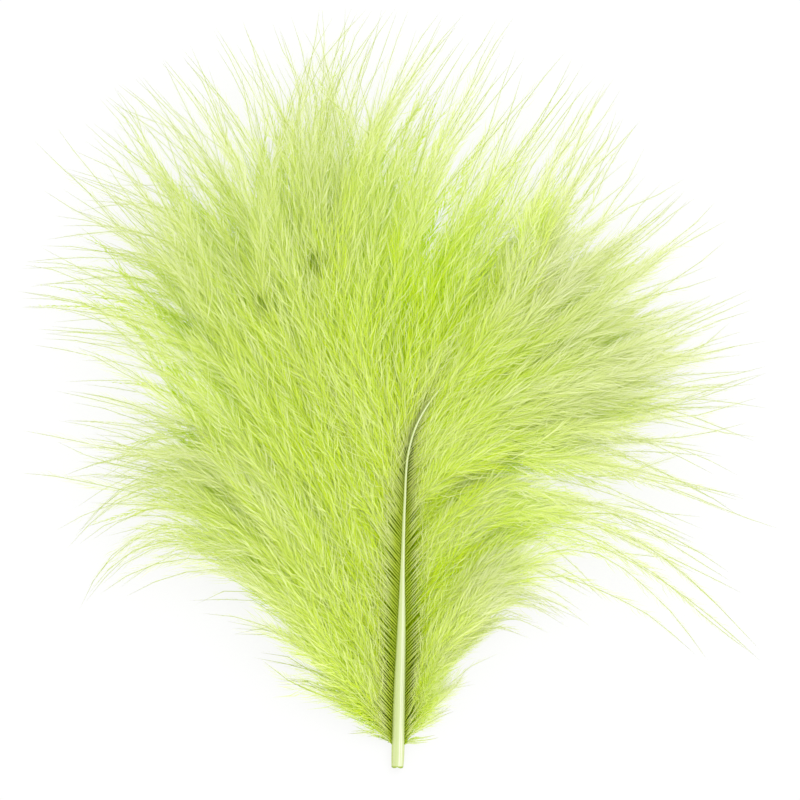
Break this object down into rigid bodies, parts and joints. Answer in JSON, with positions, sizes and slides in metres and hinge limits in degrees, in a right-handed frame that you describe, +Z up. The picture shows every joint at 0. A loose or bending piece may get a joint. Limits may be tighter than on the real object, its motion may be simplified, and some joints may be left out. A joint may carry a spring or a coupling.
{
  "type": "marabou feather",
  "caption": "Dyed marabou plume lying on its fluff: a bare cut quill tapering into a curved shaft, with soft lime down fanned out on both sides, for trims and crafts.",
  "frame": {"origin": "on the surface it rests on, under the middle of the feather's outline seen from above", "axes": "+Z up from the surface it lies on; +Y from the cut end of the quill towards the tip of the feather; +X to the right as seen from above with the quill nearest the viewer"},
  "size_m": [0.1138, 0.1148, 0.0122],
  "materials": {
    "lime_down": "soft matt dyed down with a faint sheen, pale where light comes through its ends",
    "quill": "smooth horny keratin, pale yellow-green with lengthwise streaks and a satin gloss"
  },
  "bodies": {
    "root": {"feather": "lime_down"}
  },
  "joints": []
}
